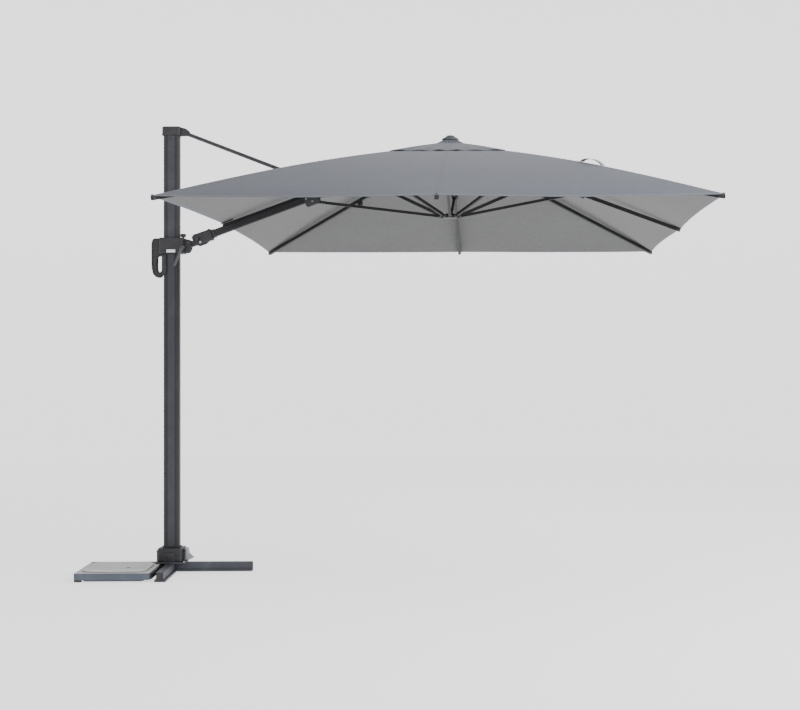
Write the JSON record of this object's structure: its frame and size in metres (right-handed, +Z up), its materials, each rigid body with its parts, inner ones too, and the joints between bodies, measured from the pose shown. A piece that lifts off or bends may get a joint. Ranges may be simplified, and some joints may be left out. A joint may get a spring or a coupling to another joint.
{
  "type": "cantilever parasol",
  "caption": "Side-post parasol with a rectangular ribbed canopy on a sliding, folding arm, a stay rod, a swivelling mast and a weighted cross base.",
  "frame": {"origin": "on the mast's axis at the ground, at the middle of the base cross's underside", "axes": "+Z up; +X from the mast along the arm to the canopy; +Y to the canopy's far long end"},
  "size_m": [3.8705, 4.016, 2.921],
  "materials": {
    "dark_plastic": "satin",
    "black_aluminium": "satin",
    "slab_lid": "matte",
    "slab_body": "matte",
    "zinc": "satin",
    "black_plastic": "matte",
    "blank_label": "satin",
    "slate_fabric": "matte",
    "painted_steel": "satin",
    "grey_plastic": "satin",
    "anthracite_aluminium": "satin"
  },
  "bodies": {
    "base": {"ballast_lid": "slab_lid", "ballast_slab": "slab_body", "base_bolt_1": "zinc", "base_bolt_2": "zinc", "base_bolt_3": "zinc", "base_bolt_4": "zinc", "collar_cheek_left": "dark_plastic", "collar_cheek_right": "dark_plastic", "cross_beam": "painted_steel", "front_beam_plug": "black_plastic", "front_half_beam": "painted_steel", "left_beam_plug": "black_plastic", "rear_beam_plug": "black_plastic", "rear_half_beam": "painted_steel", "right_beam_plug": "black_plastic", "centre_plate": "painted_steel", "mast_spigot": "painted_steel", "bearing_ring": "black_plastic", "swivel_collar": "dark_plastic"},
    "pedal": {"foot_pedal": "grey_plastic"},
    "mast": {"mast_tube": "anthracite_aluminium", "mast_cap": "dark_plastic", "cap_pin": "zinc"},
    "stay": {"stay_rod": "black_aluminium", "rod_eye": "dark_plastic", "rod_fork": "dark_plastic"},
    "slider": {"slider_housing": "dark_plastic", "slide_handle": "dark_plastic", "blank_plate": "blank_label", "lever_pin": "zinc", "elbow_pin": "zinc"},
    "lever": {"lock_lever": "grey_plastic"},
    "knob": {"lock_knob": "dark_plastic"},
    "elbow": {"elbow_knuckle": "dark_plastic"},
    "arm": {"tilt_sleeve": "dark_plastic", "arm_tube": "black_aluminium", "arm_tongue": "dark_plastic", "arm_rail": "dark_plastic"},
    "plunger": {"tilt_plunger": "zinc"},
    "top_hub": {"top_hub": "dark_plastic", "canopy": "slate_fabric", "vent_canopy": "slate_fabric", "finial": "dark_plastic"},
    "lower_hub": {"lower_hub": "dark_plastic"},
    "rib_near_left": {"rib_near_left": "black_aluminium"},
    "strut_near_left": {"strut_near_left": "black_aluminium"},
    "rib_near_middle": {"rib_near_middle": "black_aluminium"},
    "strut_near_middle": {"strut_near_middle": "black_aluminium"},
    "rib_near_right": {"rib_near_right": "black_aluminium"},
    "strut_near_right": {"strut_near_right": "black_aluminium"},
    "rib_right_middle": {"rib_right_middle": "black_aluminium"},
    "strut_right_middle": {"strut_right_middle": "black_aluminium"},
    "rib_far_right": {"rib_far_right": "black_aluminium"},
    "strut_far_right": {"strut_far_right": "black_aluminium"},
    "rib_far_middle": {"rib_far_middle": "black_aluminium"},
    "strut_far_middle": {"strut_far_middle": "black_aluminium"},
    "rib_far_left": {"rib_far_left": "black_aluminium"},
    "strut_far_left": {"strut_far_left": "black_aluminium"},
    "strut_arm": {"strut_arm": "black_aluminium"}
  },
  "joints": [
    {"name": "mast_turn", "type": "hinge", "parent": "base", "child": "mast", "pos_m": [0, 0, 0.085], "axis": [0, 0, 1], "continuous": true},
    {"name": "pedal_press", "type": "slide", "parent": "base", "child": "pedal", "axis": [0, 0, -1], "range_m": [0, 0.006], "stiffness_N_per_m": 1500, "springref_m": -0.006},
    {"name": "slider_slide", "type": "slide", "parent": "mast", "child": "slider", "axis": [0, 0, -1], "range_m": [0, 1.1], "deforming": ["canopy", "vent_canopy"]},
    {"name": "elbow_fold", "type": "hinge", "parent": "slider", "child": "elbow", "pos_m": [0.112, 0, 2.158], "axis": [0, -1, 0], "range_deg": [0, 42.63]},
    {"name": "arm_tilt", "type": "hinge", "parent": "elbow", "child": "arm", "pos_m": [0.195, 0, 2.19], "axis": [0.9394, 0, 0.3429], "range_deg": [-15, 15]},
    {"name": "plunger_pull", "type": "slide", "parent": "arm", "child": "plunger", "axis": [0, -1, 0], "range_m": [0, 0.01], "stiffness_N_per_m": 400, "springref_m": -0.01},
    {"name": "hub_level", "type": "hinge", "parent": "arm", "child": "top_hub", "pos_m": [1.772, 0, 2.7656], "axis": [0, 1, 0], "range_deg": [0, 42.63]},
    {"name": "stay_swing", "type": "hinge", "parent": "mast", "child": "stay", "pos_m": [0.079, 0, 2.883], "axis": [0, 1, 0], "range_deg": [0, 40.87]},
    {"name": "lever_swing", "type": "hinge", "parent": "slider", "child": "lever", "pos_m": [0.074, -0.0625, 2.124], "axis": [0, 1, 0], "range_deg": [0, 45]},
    {"name": "knob_turn", "type": "hinge", "parent": "slider", "child": "knob", "pos_m": [0.0742, 0, 2.19], "axis": [0, 0, 1], "range_deg": [0, 180]},
    {"name": "lower_hub_drop", "type": "slide", "parent": "top_hub", "child": "lower_hub", "axis": [0, 0, -1], "range_m": [0, 1.13056]},
    {"name": "rib_near_left_fold", "type": "hinge", "parent": "top_hub", "child": "rib_near_left", "pos_m": [1.796, -0.048, 2.7656], "axis": [0.8, -0.6, 0], "range_deg": [0, 63.71]},
    {"name": "strut_near_left_fold", "type": "hinge", "parent": "rib_near_left", "child": "strut_near_left", "pos_m": [1.32944, -0.67008, 2.59619], "axis": [0.8, -0.6, 0], "range_deg": [-121.4, 0]},
    {"name": "rib_near_middle_fold", "type": "hinge", "parent": "top_hub", "child": "rib_near_middle", "pos_m": [1.832, -0.06, 2.7656], "axis": [1, 0, 0], "range_deg": [0, 60.68]},
    {"name": "strut_near_middle_fold", "type": "hinge", "parent": "rib_near_middle", "child": "strut_near_middle", "pos_m": [1.832, -0.8398, 2.55192], "axis": [1, 0, 0], "range_deg": [-120.99, 0]},
    {"name": "rib_near_right_fold", "type": "hinge", "parent": "top_hub", "child": "rib_near_right", "pos_m": [1.868, -0.048, 2.7656], "axis": [0.8, 0.6, 0], "range_deg": [0, 63.71]},
    {"name": "strut_near_right_fold", "type": "hinge", "parent": "rib_near_right", "child": "strut_near_right", "pos_m": [2.33456, -0.67008, 2.59619], "axis": [0.8, 0.6, 0], "range_deg": [-121.4, 0]},
    {"name": "rib_right_middle_fold", "type": "hinge", "parent": "top_hub", "child": "rib_right_middle", "pos_m": [1.892, 0, 2.7656], "axis": [0, 1, 0], "range_deg": [0, 55.74]},
    {"name": "strut_right_middle_fold", "type": "hinge", "parent": "rib_right_middle", "child": "strut_right_middle", "pos_m": [2.67032, 0, 2.47827], "axis": [0, 1, 0], "range_deg": [-120.47, 0]},
    {"name": "rib_far_right_fold", "type": "hinge", "parent": "top_hub", "child": "rib_far_right", "pos_m": [1.868, 0.048, 2.7656], "axis": [-0.8, 0.6, 0], "range_deg": [0, 63.71]},
    {"name": "strut_far_right_fold", "type": "hinge", "parent": "rib_far_right", "child": "strut_far_right", "pos_m": [2.33456, 0.67008, 2.59619], "axis": [-0.8, 0.6, 0], "range_deg": [-121.4, 0]},
    {"name": "rib_far_middle_fold", "type": "hinge", "parent": "top_hub", "child": "rib_far_middle", "pos_m": [1.832, 0.06, 2.7656], "axis": [-1, 0, 0], "range_deg": [0, 60.68]},
    {"name": "strut_far_middle_fold", "type": "hinge", "parent": "rib_far_middle", "child": "strut_far_middle", "pos_m": [1.832, 0.8398, 2.55192], "axis": [-1, 0, 0], "range_deg": [-120.99, 0]},
    {"name": "rib_far_left_fold", "type": "hinge", "parent": "top_hub", "child": "rib_far_left", "pos_m": [1.796, 0.048, 2.7656], "axis": [-0.8, -0.6, 0], "range_deg": [0, 63.71]},
    {"name": "strut_far_left_fold", "type": "hinge", "parent": "rib_far_left", "child": "strut_far_left", "pos_m": [1.32944, 0.67008, 2.59619], "axis": [-0.8, -0.6, 0], "range_deg": [-121.4, 0]},
    {"name": "strut_arm_fold", "type": "hinge", "parent": "arm", "child": "strut_arm", "pos_m": [0.92926, 0, 2.42926], "axis": [0, 1, 0], "range_deg": [0, 98.51]}
  ],
  "couplings": [
    {"joint": "elbow_fold", "follows": "slider_slide", "rad_per_m": 0.67632},
    {"joint": "hub_level", "follows": "slider_slide", "rad_per_m": 0.67632},
    {"joint": "stay_swing", "follows": "slider_slide", "rad_per_m": 0.64838},
    {"joint": "lower_hub_drop", "follows": "slider_slide", "ratio": 1.0278},
    {"joint": "rib_near_left_fold", "follows": "slider_slide", "rad_per_m": 1.0108},
    {"joint": "strut_near_left_fold", "follows": "slider_slide", "rad_per_m": -1.9263},
    {"joint": "rib_near_middle_fold", "follows": "slider_slide", "rad_per_m": 0.96272},
    {"joint": "strut_near_middle_fold", "follows": "slider_slide", "rad_per_m": -1.9196},
    {"joint": "rib_near_right_fold", "follows": "slider_slide", "rad_per_m": 1.0108},
    {"joint": "strut_near_right_fold", "follows": "slider_slide", "rad_per_m": -1.9263},
    {"joint": "rib_right_middle_fold", "follows": "slider_slide", "rad_per_m": 0.88436},
    {"joint": "strut_right_middle_fold", "follows": "slider_slide", "rad_per_m": -1.9114},
    {"joint": "rib_far_right_fold", "follows": "slider_slide", "rad_per_m": 1.0108},
    {"joint": "strut_far_right_fold", "follows": "slider_slide", "rad_per_m": -1.9263},
    {"joint": "rib_far_middle_fold", "follows": "slider_slide", "rad_per_m": 0.96272},
    {"joint": "strut_far_middle_fold", "follows": "slider_slide", "rad_per_m": -1.9196},
    {"joint": "rib_far_left_fold", "follows": "slider_slide", "rad_per_m": 1.0108},
    {"joint": "strut_far_left_fold", "follows": "slider_slide", "rad_per_m": -1.9263},
    {"joint": "strut_arm_fold", "follows": "slider_slide", "rad_per_m": 1.563}
  ]
}
